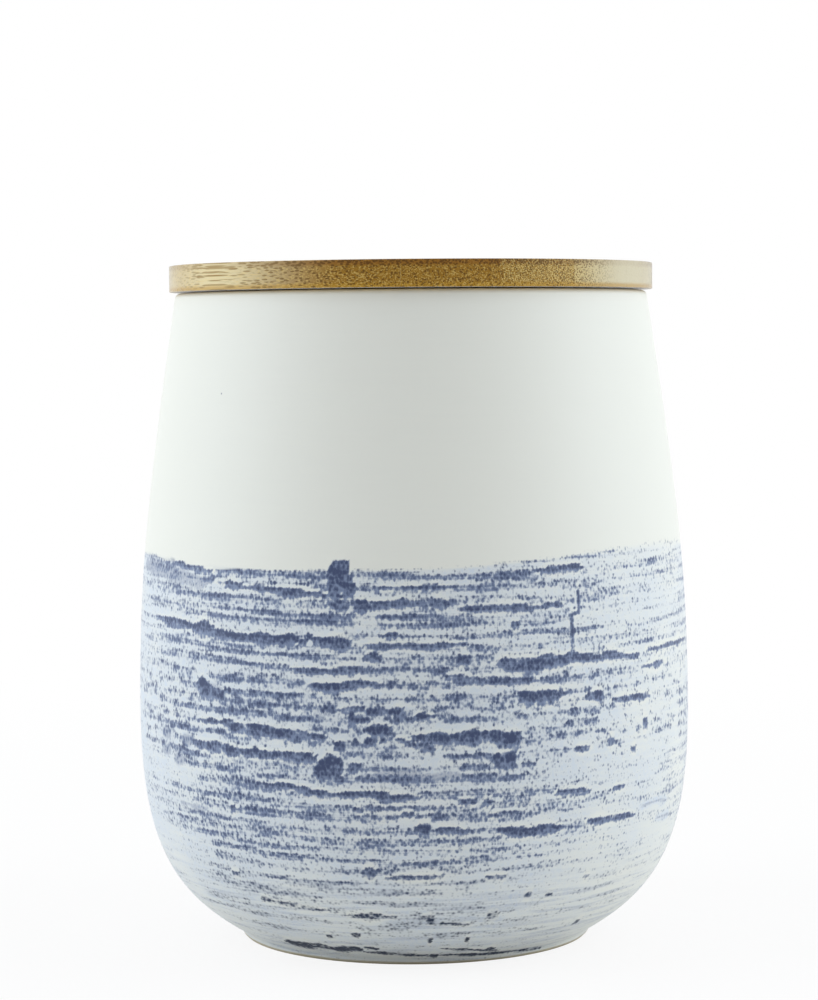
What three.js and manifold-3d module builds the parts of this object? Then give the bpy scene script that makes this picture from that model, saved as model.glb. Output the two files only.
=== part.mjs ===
// Stoneware canister with a bamboo lid: a revolved pottery body with a hollow foot, and a lid of two
// glued plies of strips whose plug carries a finned seal ring.
// Millimetres, +Z up, origin on the standing plane under the middle of the foot.

import * as THREE from "three";
import { mergeVertices } from "three/addons/utils/BufferGeometryUtils.js";
import Module from "manifold-3d";

// Outside of the body: heights and radii, and how far each curve keeps its end's direction
const BODY_HEIGHT = 146.6;
const BELLY_RADIUS = 62.8;
const BELLY_HEIGHT = 51.8;
const BELLY_SWEEP_UP = 29.7;
const BELLY_SWEEP_DOWN = 31.5;
const RIM_RADIUS = 53.6;
const RIM_LEAN_DEG = 8.6;
const RIM_SWEEP = 45.6;
const RIM_ROUND = 1.2;

// Foot ring that the body stands on, and the wall that leaves it
const FOOT_RADIUS = 39.8;
const FOOT_WIDTH = 4.8;
const FOOT_EDGE = 0.4;
const FOOT_WALL = 0.3;
const FOOT_COVE = 0.7;
const FOOT_RECESS = 2.4;
const FOOT_DRAFT = 1.2;
const FOOT_RISE_DEG = 30.2;
const FOOT_SWEEP = 17;

// Inside of the body
const BELLY_WALL = 4.6;
const RIM_WALL = 4.6;
const FLOOR_THICKNESS = 5.8;
const FLOOR_SWEEP = 46;
const HEEL_SWEEP = 42;
const SHOULDER_SWEEP = 29.7;
const THROAT_DEPTH = 14;
const THROAT_SWEEP = 18;

// Lid board: the upper ply of bamboo strips
const LID_OVERHANG = 1.4;
const LID_THICKNESS = 5.9;
const LID_TOP_ROUND = 0.3;
const LID_LOWER_EDGE = 0.3;
const LID_SEAT_GAP = 0.3;
const LID_TURN_DEG = 39.5;
const STRIP_COUNT = 6;
const GLUE_LINE = 0.1;

// Plug: the lower ply, laid crosswise and grooved for the seal
const PLUG_CLEARANCE = 2.2;
const PLUG_UPPER_LIP = 3;
const PLUG_LOWER_LIP = 2.4;
const PLUG_EDGE = 1;
const GROOVE_HEIGHT = 4.2;
const GROOVE_DEPTH = 2.2;

// Seal ring: a band in the groove with two fins that wipe the throat
const SEAL_FIT = 0.2;
const SEAL_CLEARANCE = 0.3;
const FIN_COUNT = 2;
const FIN_ROOT = 1;
const FIN_TIP = 0.5;
const FIN_RISE = 0.8;

// Facets
const ROUND_SEGMENTS = 60;
const WALL_STEPS = 9;
const HOLLOW_STEPS = 7;
const EDGE_STEPS = 3;

// Sizes that follow from the ones above
const MOUTH_RADIUS = RIM_RADIUS - RIM_WALL;
const HOLLOW_RADIUS = BELLY_RADIUS - BELLY_WALL;
const FLOOR_TOP = FOOT_RECESS + FLOOR_THICKNESS;
const LID_RADIUS = RIM_RADIUS + LID_OVERHANG;
const LID_BOTTOM = BODY_HEIGHT + LID_SEAT_GAP;
const LID_TOP = LID_BOTTOM + LID_THICKNESS;
const PLUG_RADIUS = MOUTH_RADIUS - PLUG_CLEARANCE;
const PLUG_TOP = LID_BOTTOM - GLUE_LINE;
const GROOVE_TOP = PLUG_TOP - PLUG_UPPER_LIP;
const GROOVE_BOTTOM = GROOVE_TOP - GROOVE_HEIGHT;
const PLUG_BOTTOM = GROOVE_BOTTOM - PLUG_LOWER_LIP;

const STONEWARE = { color: "#e0e4e1", roughness: 0.42, metalness: 0 };
const BAMBOO = { color: "#b08d52", roughness: 0.6, metalness: 0 };
const SILICONE = { color: "#e6e7e2", roughness: 0.5, metalness: 0 };

const wasm = await Module();
wasm.setup();

const at = (radius, height) => new THREE.Vector2(radius, height);

// Points along a chain of curves, each given with its number of steps; where two curves meet, one point.
function trace(stretches) {
  const points = [];
  for (const [curve, steps] of stretches) {
    points.push(...curve.getPoints(steps).slice(points.length ? 1 : 0));
  }
  return points;
}

const straight = (from, to) => [new THREE.LineCurve(from, to), 1];
const rounded = (from, corner, to) => [new THREE.QuadraticBezierCurve(from, corner, to), EDGE_STEPS];
const swept = (from, leave, arrive, to, steps) => [new THREE.CubicBezierCurve(from, leave, arrive, to), steps];

// A profile of radius and height, turned about the upright axis.
function revolve(points) {
  return new THREE.LatheGeometry(points, ROUND_SEGMENTS).rotateX(Math.PI / 2);
}

// Underside and foot: a recessed base inside a ring with eased edges.
function footPoints() {
  const inside = FOOT_RADIUS - FOOT_WIDTH;
  return [
    at(0, FOOT_RECESS),
    at(inside - FOOT_DRAFT, FOOT_RECESS),
    at(inside, FOOT_EDGE),
    at(inside + FOOT_EDGE, 0),
    at(FOOT_RADIUS - FOOT_EDGE, 0),
    at(FOOT_RADIUS, FOOT_EDGE),
  ];
}

// Outer wall: a cove over the foot, the sweep out to the belly and up to the rim, and the rounded rim itself.
function outerWallPoints() {
  const rise = THREE.MathUtils.degToRad(FOOT_RISE_DEG);
  const lean = Math.tan(THREE.MathUtils.degToRad(RIM_LEAN_DEG));
  const cove = at(FOOT_RADIUS, FOOT_EDGE + FOOT_WALL);
  const coveCorner = at(FOOT_RADIUS, cove.y + FOOT_COVE);
  const heel = at(FOOT_RADIUS + FOOT_COVE, coveCorner.y + FOOT_COVE * Math.tan(rise));
  const heelLeave = at(heel.x + FOOT_SWEEP * Math.cos(rise), heel.y + FOOT_SWEEP * Math.sin(rise));
  const belly = at(BELLY_RADIUS, BELLY_HEIGHT);
  const rimStart = at(RIM_RADIUS + RIM_ROUND * lean, BODY_HEIGHT - RIM_ROUND);
  const rimArrive = at(rimStart.x + RIM_SWEEP * lean, rimStart.y - RIM_SWEEP);
  const landOuter = at(RIM_RADIUS - RIM_ROUND, BODY_HEIGHT);
  const landInner = at(MOUTH_RADIUS + RIM_ROUND, BODY_HEIGHT);
  return trace([
    rounded(cove, coveCorner, heel),
    swept(heel, heelLeave, at(BELLY_RADIUS, BELLY_HEIGHT - BELLY_SWEEP_DOWN), belly, WALL_STEPS),
    swept(belly, at(BELLY_RADIUS, BELLY_HEIGHT + BELLY_SWEEP_UP), rimArrive, rimStart, WALL_STEPS),
    rounded(rimStart, at(RIM_RADIUS, BODY_HEIGHT), landOuter),
    straight(landOuter, landInner),
    rounded(landInner, at(MOUTH_RADIUS, BODY_HEIGHT), at(MOUTH_RADIUS, BODY_HEIGHT - RIM_ROUND)),
  ]);
}

// Hollow: a straight throat for the seal, then the swell of the belly and a dished floor.
function hollowPoints() {
  const throat = at(MOUTH_RADIUS, BODY_HEIGHT - THROAT_DEPTH);
  const throatLeave = at(MOUTH_RADIUS, throat.y - THROAT_SWEEP);
  const belly = at(HOLLOW_RADIUS, BELLY_HEIGHT);
  const bellyArrive = at(HOLLOW_RADIUS, BELLY_HEIGHT + SHOULDER_SWEEP);
  const heelLeave = at(HOLLOW_RADIUS, BELLY_HEIGHT - HEEL_SWEEP);
  return trace([
    swept(throat, throatLeave, bellyArrive, belly, HOLLOW_STEPS),
    swept(belly, heelLeave, at(FLOOR_SWEEP, FLOOR_TOP), at(0, FLOOR_TOP), HOLLOW_STEPS),
  ]);
}

function bodyGeometry() {
  return revolve([...footPoints(), ...outerWallPoints(), ...hollowPoints()]);
}

// Lid disc: a small break at the lower edge and a small round at the upper one.
function lidDiscGeometry() {
  const side = at(LID_RADIUS, LID_TOP - LID_TOP_ROUND);
  const top = at(LID_RADIUS - LID_TOP_ROUND, LID_TOP);
  return revolve([
    at(0, LID_BOTTOM),
    at(LID_RADIUS - LID_LOWER_EDGE, LID_BOTTOM),
    at(LID_RADIUS, LID_BOTTOM + LID_LOWER_EDGE),
    ...trace([rounded(side, at(LID_RADIUS, LID_TOP), top)]),
    at(0, LID_TOP),
  ]);
}

// Plug disc: chamfered below, with a square groove round its side for the seal.
function plugDiscGeometry() {
  return revolve([
    at(0, PLUG_BOTTOM),
    at(PLUG_RADIUS - PLUG_EDGE, PLUG_BOTTOM),
    at(PLUG_RADIUS, PLUG_BOTTOM + PLUG_EDGE),
    at(PLUG_RADIUS, GROOVE_BOTTOM),
    at(PLUG_RADIUS - GROOVE_DEPTH, GROOVE_BOTTOM),
    at(PLUG_RADIUS - GROOVE_DEPTH, GROOVE_TOP),
    at(PLUG_RADIUS, GROOVE_TOP),
    at(PLUG_RADIUS, PLUG_TOP),
    at(0, PLUG_TOP),
  ]);
}

// Seal ring: the band fills the groove, and each fin slants up and out to the throat.
function sealGeometry() {
  const inner = PLUG_RADIUS - GROOVE_DEPTH + SEAL_FIT;
  const bottom = GROOVE_BOTTOM + SEAL_FIT;
  const top = GROOVE_TOP - SEAL_FIT;
  const tip = MOUTH_RADIUS - SEAL_CLEARANCE;
  const pitch = (top - bottom) / FIN_COUNT;
  const points = [at(inner, bottom), at(PLUG_RADIUS, bottom)];
  for (let fin = 0; fin < FIN_COUNT; fin += 1) {
    const root = bottom + fin * pitch + (pitch - FIN_ROOT) / 2;
    const tipBottom = root + FIN_RISE + (FIN_ROOT - FIN_TIP) / 2;
    points.push(at(PLUG_RADIUS, root), at(tip, tipBottom));
    points.push(at(tip, tipBottom + FIN_TIP), at(PLUG_RADIUS, root + FIN_ROOT));
  }
  points.push(at(PLUG_RADIUS, top), at(inner, top), at(inner, bottom));
  return revolve(points);
}

// A closed mesh as a solid that can be cut, without the flat triangles at the poles.
function toSolid(geometry) {
  const bare = geometry.clone();
  bare.deleteAttribute("normal");
  bare.deleteAttribute("uv");
  const merged = mergeVertices(bare);
  const corners = merged.index.array;
  const triVerts = [];
  for (let i = 0; i < corners.length; i += 3) {
    const [a, b, c] = corners.slice(i, i + 3);
    if (a !== b && b !== c && c !== a) {
      triVerts.push(a, b, c);
    }
  }
  const vertProperties = merged.attributes.position.array;
  return new wasm.Manifold(new wasm.Mesh({ numProp: 3, vertProperties, triVerts: new Uint32Array(triVerts) }));
}

function toGeometry(solid) {
  const { vertProperties, triVerts } = solid.getMesh();
  const geometry = new THREE.BufferGeometry();
  geometry.setAttribute("position", new THREE.BufferAttribute(vertProperties, 3));
  geometry.setIndex(new THREE.BufferAttribute(triVerts, 1));
  geometry.computeVertexNormals();
  return geometry;
}

// The strips of one ply: a disc cut across into equal widths, a glue line apart.
function stripGeometries(discGeometry, radius, bottom, top) {
  const disc = toSolid(discGeometry);
  const width = (2 * radius) / STRIP_COUNT;
  const strips = [];
  for (let strip = 0; strip < STRIP_COUNT; strip += 1) {
    const isFirst = strip === 0;
    const isLast = strip === STRIP_COUNT - 1;
    const from = -radius + strip * width + (isFirst ? -radius : GLUE_LINE / 2);
    const to = -radius + (strip + 1) * width + (isLast ? radius : -GLUE_LINE / 2);
    const slab = new THREE.BoxGeometry(to - from, 4 * radius, 2 * (top - bottom));
    slab.translate((from + to) / 2, 0, (top + bottom) / 2);
    strips.push(toGeometry(disc.intersect(toSolid(slab))));
  }
  return strips;
}

function piece(name, geometry, finish) {
  const mesh = new THREE.Mesh(geometry, new THREE.MeshStandardMaterial(finish));
  mesh.name = name;
  return mesh;
}

// The lid as it lifts off: both plies and the seal, turned as it was set down.
function lid() {
  const assembly = new THREE.Group();
  const boards = stripGeometries(lidDiscGeometry(), LID_RADIUS, LID_BOTTOM, LID_TOP);
  boards.forEach((strip, i) => assembly.add(piece(`lid_strip_${i + 1}`, strip, BAMBOO)));
  const crosswise = new THREE.Group();
  const plies = stripGeometries(plugDiscGeometry(), PLUG_RADIUS, PLUG_BOTTOM, PLUG_TOP);
  plies.forEach((strip, i) => crosswise.add(piece(`plug_strip_${i + 1}`, strip, BAMBOO)));
  crosswise.rotation.z = Math.PI / 2;
  assembly.add(crosswise, piece("seal_ring", sealGeometry(), SILICONE));
  assembly.rotation.z = THREE.MathUtils.degToRad(LID_TURN_DEG);
  return assembly;
}

const canister = new THREE.Group();
canister.add(piece("canister_body", bodyGeometry(), STONEWARE), lid());

export default canister;
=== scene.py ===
"""Looks of a stoneware canister with a bamboo lid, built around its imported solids.

The blue glaze is laid as brush marks on a fine turned wall. The grain that breaks the marks up,
the bamboo's fibres and the bloom on the seal come from shader nodes.
"""

import math

import bmesh
import bpy
import numpy as np
from bpy.props import FloatProperty, FloatVectorProperty, IntProperty, PointerProperty
from bpy.types import Operator, Panel, PropertyGroup
from mathutils import Matrix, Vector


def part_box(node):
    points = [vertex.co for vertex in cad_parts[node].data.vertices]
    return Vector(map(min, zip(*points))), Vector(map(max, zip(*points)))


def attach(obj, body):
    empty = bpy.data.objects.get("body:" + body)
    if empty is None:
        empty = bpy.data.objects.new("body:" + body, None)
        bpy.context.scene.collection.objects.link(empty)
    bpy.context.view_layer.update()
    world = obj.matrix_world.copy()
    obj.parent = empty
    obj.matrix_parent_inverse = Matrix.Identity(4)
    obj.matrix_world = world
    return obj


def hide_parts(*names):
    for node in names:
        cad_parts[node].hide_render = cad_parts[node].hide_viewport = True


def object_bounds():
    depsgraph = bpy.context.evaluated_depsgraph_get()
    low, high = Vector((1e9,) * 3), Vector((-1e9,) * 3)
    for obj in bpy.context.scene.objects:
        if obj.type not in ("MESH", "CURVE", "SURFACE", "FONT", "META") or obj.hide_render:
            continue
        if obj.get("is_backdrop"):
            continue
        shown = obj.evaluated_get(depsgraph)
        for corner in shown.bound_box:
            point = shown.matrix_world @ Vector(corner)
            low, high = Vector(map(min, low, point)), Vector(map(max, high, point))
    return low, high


bl_info = {
    "name": "Stoneware Canister",
    "version": (1, 0, 0),
    "blender": (4, 5, 0),
    "location": "View3D > Sidebar > Canister",
    "description": "Brush-glazed canister with a bamboo lid, dressed over its packed solids",
    "category": "Object",
}

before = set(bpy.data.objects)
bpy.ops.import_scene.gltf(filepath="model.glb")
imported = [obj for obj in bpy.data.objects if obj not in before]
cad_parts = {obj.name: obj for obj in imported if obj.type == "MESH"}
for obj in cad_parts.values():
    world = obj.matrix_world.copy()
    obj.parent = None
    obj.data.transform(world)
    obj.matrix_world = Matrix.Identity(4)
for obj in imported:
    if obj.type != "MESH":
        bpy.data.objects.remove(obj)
CAD_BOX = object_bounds()

MM = 0.001
TAU = 2 * math.pi

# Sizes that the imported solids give
STRIP_COUNT = sum(node.startswith("lid_strip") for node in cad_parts)
BODY_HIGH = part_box("canister_body")[1]
LID_LOW, LID_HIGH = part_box("lid_strip_3")
PLUG_LOW, PLUG_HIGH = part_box("plug_strip_3")
SEAL_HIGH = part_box("seal_ring")[1]

# Reach of the wall's curves, in metres: how far each keeps the direction of its end
BELLY_SWEEP_UP = 29.7 * MM
BELLY_SWEEP_DOWN = 31.5 * MM
RIM_SWEEP = 45.6 * MM
FOOT_SWEEP = 17 * MM
FLOOR_SWEEP = 46 * MM
HEEL_SWEEP = 42 * MM
SHOULDER_SWEEP = 29.7 * MM
THROAT_SWEEP = 18 * MM

# Small edges of the body and lid, in metres
RIM_ROUND = 1.2 * MM
FOOT_EDGE = 0.4 * MM
FOOT_WALL = 0.3 * MM
FOOT_COVE = 0.7 * MM
FOOT_DRAFT = 1.2 * MM
THROAT_DEPTH = 14 * MM
LID_TOP_ROUND = 0.3 * MM
LID_LOWER_EDGE = 0.12 * MM
PLUG_EDGE = 1 * MM

# Spacing of the wall's rings, fine up to a height that clears the marks and plainer above
FINE_RING = 0.6 * MM
PLAIN_RING = 2.4 * MM
FINE_TO = 92 * MM

# Steps along each curve of a profile, and round the lid and its seal
WALL_STEPS = 400
SHOULDER_STEPS = 14
HEEL_STEPS = 16
CORNER_STEPS = 5
LID_STEPS = 240
LID_TURNS = np.arange(LID_STEPS) * TAU / LID_STEPS

# Edges that turn by more than this stay sharp
SHARP_EDGE = math.radians(40)

# Dark strokes: left and right end in degrees from the front, height at each and thickness in mm
SOLID_MARKS = (
    (-58, -44, 87.6, 86.4, 1.3), (-44, -16, 84.5, 82.5, 1.3), (-16.5, -12.6, 88.2, 88.2, 2),
    (-16.6, -12.9, 89.5, 89.5, 1.8), (-17.1, -14.1, 85.4, 85.4, 5), (-13.9, -11.6, 84.4, 84.4, 3),
    (-14.4, -12.2, 86.6, 86.6, 2.6), (-18.4, -14, 82.2, 82.4, 1), (-17, -12.6, 80.5, 80.5, 1.8),
    (-11.7, -8.8, 81, 81, 2.8), (-10, 2, 81, 81, 1.6), (-7, 2, 84.2, 84.2, 1),
    (24, 36, 87, 87.5, 1.2), (3, 8, 84.4, 84.4, 1.1), (4, 7, 81.2, 81.2, 2),
    (8, 31, 79.7, 79.7, 1.3), (-66, -50, 75.2, 74.3, 1.8), (-51, -40, 74.3, 73.5, 2.2),
    (-41, -23, 73.5, 73, 2.4), (-23, -21, 72.8, 72.8, 1.4), (-20, -12, 72.8, 72.8, 2),
    (-10, 11, 72.3, 72, 1.3), (-6, -3, 74.6, 74.6, 1.5), (19, 21, 76, 76, 1.4),
    (32, 32.8, 74.6, 74.6, 6), (34, 35, 80.4, 80.4, 4.2), (33, 34.6, 77.9, 77.9, 0.8),
    (-10, -6, 69.7, 69.7, 1.4), (8, 11, 69.2, 69.2, 1.8), (-25, -17, 67.2, 66.6, 1.3),
    (-18, -10, 66.6, 67.3, 1.3), (-21, -6, 63.8, 63.8, 1.8), (16, 26, 68, 67.4, 2.6),
    (24, 32, 67.6, 68.5, 2.2), (31, 41, 68.5, 67.9, 2), (40, 51, 67.9, 67.3, 1.6),
    (53, 78, 68.3, 68.3, 0.9), (52, 64, 64.5, 65, 0.9), (5, 25, 65.4, 64, 1.4),
    (20, 31, 60.8, 60.8, 2.6), (35, 40, 59.7, 59.7, 2), (42, 55, 58.5, 58.2, 1.1),
    (-15, -9, 58.7, 58.7, 1.3), (-13, -11, 56.5, 56.5, 4), (-4, -2, 58, 58, 2),
    (-48.5, -40, 61.6, 61, 2.6), (0, 4, 57.3, 57.3, 1.6), (-9, -4, 54.4, 54.4, 2.6),
    (-10, -7, 52, 52, 1.8), (-16, -13, 51.2, 51.2, 1.8), (-48, -37, 54.6, 54.3, 0.9),
    (-41, -17, 54, 52.9, 2.3), (-7, -4, 52, 52.7, 1.2), (-4, 4, 52.7, 50.7, 1.3),
    (-1, 20, 53.5, 52.6, 2.4), (17, 21, 51.6, 51.6, 2.8), (5, 7, 52.2, 52.2, 2.6),
    (15, 20, 48.2, 48.2, 3), (-50, -39, 49.3, 49, 1.8), (-41, -27, 49, 48.5, 2),
    (-28, -19, 48.5, 48, 2), (-20, -14, 46.6, 46.6, 4), (-13, -10, 46.6, 46.6, 2),
    (-16, -14, 44, 44, 1.6), (-29, -24, 41.8, 42.3, 1.6), (-25, -20, 42.3, 41.1, 1.6),
    (-21, -14, 41.1, 40.8, 1.5), (-15, -10, 40.8, 41.1, 1.5), (-11, -4, 41.1, 40.2, 1.5),
    (-5, 1, 40.2, 40.2, 1.3), (33, 37, 48.8, 48.8, 1), (41, 43, 50, 50, 1.3),
    (48, 50, 47.3, 47.3, 1), (52, 54, 52.4, 52.4, 2.2), (28, 37, 39.7, 39.7, 1),
    (43, 47, 39.3, 39.3, 0.9), (8, 12, 39.2, 39.2, 1.3), (13, 15, 39, 39, 1.3),
    (-40, -37, 35.9, 35.9, 1.6), (-12, -10, 37.6, 37.6, 1.2), (-3, 0, 36.6, 36.6, 1.2),
    (14, 17, 36, 36, 1), (0, 3, 33.1, 33.1, 2.6), (4, 10, 33, 33, 1.4), (16, 31, 32.7, 32, 1.9),
    (36, 51, 32.7, 32.7, 1.2), (-11, -8, 24, 24, 2), (-7, 6, 22.9, 22.9, 1),
    (-43, -40, 21.3, 21.3, 0.9), (14, 19, 22.5, 22.5, 0.9), (-37, -27, 15.9, 15.1, 1.1),
    (-29, -19.5, 15.2, 14.6, 0.9), (-16, -4.2, 13.9, 13.3, 1.2), (16, 19, 13.6, 13.4, 1.3),
    (5, 13, 11.7, 11.2, 0.9), (1, 4, 13.4, 13.2, 0.9), (2.4, 4.2, 12.3, 12.3, 1.6),
    (-41, -15, 4.4, 3.7, 1.6), (-16, 6, 3.4, 2.2, 0.8), (6, 26, 4.8, 2.6, 0.6),
    (6, 44, 2.5, 1.2, 0.7), (-14.5, -10.5, 4.8, 4.6, 0.9), (4, 6.5, 2.4, 2.4, 1.1),
    (20.5, 23.5, 3.4, 3.4, 1), (44, 46, 8.3, 8.3, 1), (-23.5, -21.7, 7.3, 7.3, 1.1),
    (-16.2, -14, 8.6, 8.6, 1.2), (12.5, 14, 7, 7, 1.2), (3, 4.2, 7.2, 7.2, 1.2),
    (24, 26, 17.6, 17.6, 1), (29, 31, 17.3, 17.3, 1), (38, 40, 20.4, 20.4, 0.8),
)

# Strokes that dried into granules, in the same order
GRAINY_MARKS = (
    (-76, -56, 88.7, 87.5, 1.1), (-44, -27, 86.5, 86.3, 1.2), (-25, -16, 85, 85, 1.2),
    (-50, -20, 81.4, 80.8, 1.6), (-29, -15, 78.3, 78.3, 1.2), (-46, -13, 77, 76.4, 1.2),
    (-12, 2, 87, 86.5, 1.2), (-65, -36, 72, 70.6, 1.2), (-40, -20, 69.9, 69.9, 1.2),
    (-20, -12, 69.3, 69.3, 1.8), (-4, 2, 69.1, 69.1, 1.4), (-37, -20, 64.3, 64, 1.5),
    (-40, -31, 60.8, 60.8, 1.6), (-30, -10, 61, 60.5, 1.4), (11, 23, 86.8, 86.8, 1),
    (-2, 10, 84.4, 84.4, 1), (11, 25, 85.2, 85.2, 1.2), (30, 40, 83.2, 83.2, 1.5),
    (-2, 8, 80.4, 80.4, 2.2), (-2, 18, 77.5, 77.5, 1), (22, 28, 76.5, 76.5, 1.1),
    (33, 40, 77.1, 77.1, 1.2), (12, 18, 66.9, 67.8, 1.6), (15, 26, 71.6, 71.6, 1.3),
    (27, 39, 72.8, 72.8, 1.7), (-2, 16, 69.3, 69, 1.8), (28, 31, 64.8, 64.8, 1.6),
    (5, 15, 58.8, 58.8, 1.5), (14, 16, 59.2, 59.2, 3.6), (16, 18, 56.4, 56.4, 3.2),
    (22, 29, 52, 52, 1.4), (31, 36, 54.8, 54.8, 1.5), (25, 30, 48, 48, 1.4),
    (-10, -5, 46.5, 46.5, 1.8), (-43, -21, 45.6, 45.6, 1.4), (17, 23, 39.8, 39.8, 1.8),
    (-30, -11, 38, 38, 1.2), (-30, -11, 35.8, 35.8, 1.2), (-30, -11, 33, 33, 1.2),
    (2, 14, 36.8, 36.8, 1.1), (24, 33, 36, 36, 1.1), (31, 36, 32.5, 32.5, 2.2),
    (2, 16, 28.7, 28.7, 1), (19, 24, 27.3, 27.3, 1), (2, 13, 26.4, 26.4, 1), (8, 13, 20, 20, 1.3),
    (8, 15, 14.4, 13.8, 1.2), (-14.5, 0, 10.4, 9.6, 1.5), (18, 47, 88.6, 90.5, 0.6),
    (-44, -20, 18.6, 17.6, 1.4), (-46, -8, 60.2, 59.6, 2.8), (-20, 13, 57.6, 57.4, 2.4),
    (1, 20, 60.8, 60.4, 2.2), (-65, -56, 51.6, 51, 4.6), (-72, -67.5, 54, 53.6, 3.4),
    (-53.6, -51, 49.4, 49.2, 3.6), (-62.5, -58.5, 46.2, 45.8, 3.4), (-56, -52.8, 45.6, 45.4, 3),
    (-74, -50, 86.6, 86.8, 2.4),
)

# Thin blue washes, likewise
PALE_MARKS = (
    (-78, -45, 86, 84.6, 3.6), (-49, -41, 61.6, 61.6, 2.8), (-62, -58, 50.2, 50.2, 2),
    (-54, -50, 49.5, 49.5, 2), (-62, -58, 46.5, 46.5, 2), (-57, -53, 45, 45, 2),
    (-8, 1, 45.3, 45.3, 1.8), (-2, 9, 44.8, 44.8, 1.8), (-56, -46, 35, 35, 1.4),
    (60, 68, 30, 30, 1.2), (52, 65, 34, 34, 1.2),
)

# Places that the brush hardly touched, likewise
WIPED_MARKS = (
    (-5, 9, 47.4, 46.6, 5), (24, 70, 46.6, 46.6, 6), (-85, -48, 43, 42, 7), (34, 72, 77.5, 77.5, 5),
    (-11.5, -7, 77, 77, 9), (-14, 0, 62.2, 62.2, 1.6), (38, 70, 55, 55, 4), (34, 75, 27, 27, 7),
    (-80, -46, 27, 25, 8), (20, 44, 43.5, 43.5, 3), (44, 62, 40, 40, 6), (12, 40, 18, 18, 6),
    (-30, -10, 65.6, 65.4, 1.2),
)

# How busy the brushing is, as a share by degrees round the wall and by millimetres up it
BUSY_TURNS = (
    (-150, 0.9), (-100, 0.7), (-80, 0.42), (-60, 0.68), (-45, 1),
    (0, 1.05), (25, 0.8), (45, 0.6), (65, 0.5), (130, 0.9),
)
BUSY_HEIGHTS = ((2, 0.34), (8, 0.46), (14, 0.56), (22, 0.68), (34, 0.82), (48, 1), (86, 1))

# Share of stray granules up the wall
DUST_HEIGHTS = ((6, 0.1), (30, 0.22), (44, 0.38), (60, 0.42), (67, 0.38), (73, 0.3), (87, 0.34))

# Share of blue in the ground round the wall and up it
GROUND_TURNS = ((-100, 1), (0, 1), (25, 0.85), (45, 0.66), (70, 0.58), (120, 1))
GROUND_HEIGHTS = ((0, 0.55), (45, 1))

# Share of its full cover that a dark stroke has up the wall
STROKE_HEIGHTS = ((6, 1), (12, 0.76), (24, 0.84), (32, 1))

# Heights of the dry rows of granules, in millimetres, and how far they drift round the wall
ROW_LEVELS = (
    86.5, 84, 81, 78.2, 76.6, 74, 71.6, 69.6, 67, 64, 61, 58.7, 56.6, 54, 51.6, 49, 46.4, 44, 41, 38,
    35.8, 33, 30.8, 28.7, 26.4, 24, 21.5, 19, 16.5, 14, 11.5, 8.5, 5, 3,
)
ROW_DRIFT = ((-160, 0.4), (-65, 1.2), (-45, 0.7), (-20, 0), (20, 0), (60, 0.6))

# Height of the glaze line round the wall, in degrees and millimetres
GLAZE_LINE = (
    (-160, 88), (-73, 88.2), (-56, 87.4), (-45, 86.8), (-32, 87.5), (-6, 87.9), (13, 88.2), (20, 89),
    (35, 90.1), (47, 90.9), (63, 91), (90, 89.5),
)

# Where marks are drawn by lot on the sides and back, in degrees and millimetres
BACK_FROM, BACK_TO = 85, 275
BACK_LOW, BACK_HIGH = 4, 87

# Kinds of those marks: how many, least and most spread in degrees, least and most thickness in mm
BACK_MARKS = ((34, 14, 36, 1.3, 2.4), (70, 4, 12, 0.8, 1.5), (26, 2, 5, 1.6, 3.2), (10, 1.6, 2.4, 3, 6))
BACK_SLOPE = 0.02
BRUSH_SEED = 41

# Heights in mm at which the glaze starts to be, and fully is, streaked, slate, bare or crawled
STREAKED = (28, 14)
SLATE_LOW = (30, 6)
BARE_FOOT = (0.8, 0.4)
CRAWLED_UP = (42, 50)
CRAWLED_DOWN = (70, 62)

# Sizes of the glaze's patterns, in millimetres
CLUMP = 3
BRUSH_LINE = 0.9
CLOUD = 14
STREAK = 0.6
PIT_SPACING = 13

# Sizes in the bamboo, in millimetres: fibres, how deep skin and amber reach, shift from cane to cane
BUNDLE = 0.45
FINE_FIBRE = 0.27
SKIN_DEPTHS = (1.2, 0.4)
AMBER_DEPTH = 0.9
CANE_SHIFT = 7.3


def linear(channel):
    """An 8-bit screen value as a share of light."""
    share = channel / 255
    return share / 12.92 if share <= 0.04045 else ((share + 0.055) / 1.055) ** 2.4


def length(name, description, metres):
    """A size that a user would change."""
    return FloatProperty(name=name, description=description, default=metres, unit="LENGTH", precision=4)


def angle(name, description, degrees):
    """An angle that a user would change."""
    return FloatProperty(name=name, description=description, default=math.radians(degrees), subtype="ANGLE")


def colour(name, description, red, green, blue):
    """A colour that a user would change, given in 8-bit screen values."""
    default = (linear(red), linear(green), linear(blue), 1)
    return FloatVectorProperty(
        name=name, description=description, default=default, size=4, subtype="COLOR", min=0, max=1)


class BodyShape(PropertyGroup):
    """Outline of the stoneware body."""

    height: length("Height", "From the standing plane to the rim", BODY_HIGH.z)
    belly_radius: length("Belly radius", "Widest radius of the wall", BODY_HIGH.x)
    belly_height: length("Belly height", "Height of the widest part", 51.8 * MM)
    rim_radius: length("Rim radius", "Outer radius at the rim", 53.6 * MM)
    rim_lean: angle("Rim lean", "How far the wall leans in at the rim", 8.6)
    wall: length("Wall", "Thickness of the wall", 4.6 * MM)
    floor: length("Floor", "Thickness of the floor", 5.8 * MM)
    foot_radius: length("Foot radius", "Outer radius of the foot ring", 39.8 * MM)
    foot_width: length("Foot width", "Width of the foot ring", 4.8 * MM)
    foot_recess: length("Foot recess", "Height of the underside inside the ring", 2.4 * MM)
    foot_rise: angle("Foot rise", "Slope at which the wall leaves the foot", 30.2)
    front_step: angle("Front step", "Step round the wall where the marks are drawn one by one", 0.6)
    back_step: angle("Back step", "Step round the rest of the wall", 1.6)


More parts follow.
